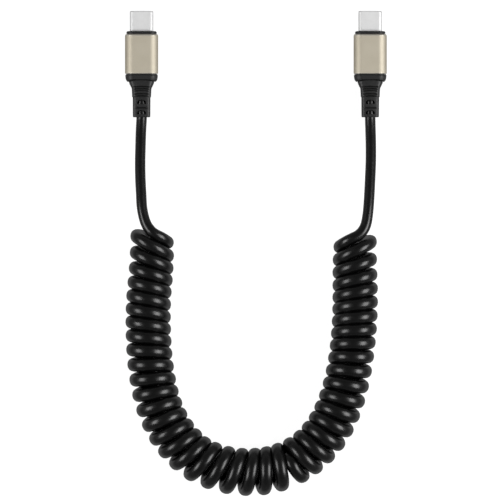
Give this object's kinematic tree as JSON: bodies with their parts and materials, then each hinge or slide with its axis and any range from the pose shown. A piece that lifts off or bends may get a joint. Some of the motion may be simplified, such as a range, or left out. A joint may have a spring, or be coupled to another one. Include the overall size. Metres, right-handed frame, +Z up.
{
  "type": "coiled usb-c cable",
  "caption": "Curly black USB-C cable laid in a U, with a straight lead and the same metal-sleeved USB-C plug on each end.",
  "frame": {"origin": "on the floor, midway between the two plugs: the bottom centre of their common box", "axes": "+X from the left plug to the right plug, +Y the way the plugs' tips point, +Z up from the floor that the cable lies on"},
  "size_m": [0.092, 0.1699, 0.0158],
  "materials": {
    "steel": "satin",
    "black_plastic": "semi-gloss",
    "contact_gold": "polished",
    "champagne_aluminium": "satin anodised",
    "soft_black": "satin",
    "cord_black": "semi-gloss"
  },
  "bodies": {
    "root": {"shell_left": "steel", "insulator_left": "black_plastic", "contacts_upper_left": "contact_gold", "contacts_lower_left": "contact_gold", "front_cap_left": "black_plastic", "sleeve_left": "champagne_aluminium", "rear_cap_left": "black_plastic", "strain_relief_left": "soft_black", "shell_right": "steel", "insulator_right": "black_plastic", "contacts_upper_right": "contact_gold", "contacts_lower_right": "contact_gold", "front_cap_right": "black_plastic", "sleeve_right": "champagne_aluminium", "rear_cap_right": "black_plastic", "strain_relief_right": "soft_black", "coil": "cord_black", "lead_left": "cord_black", "lead_right": "cord_black"}
  },
  "joints": []
}
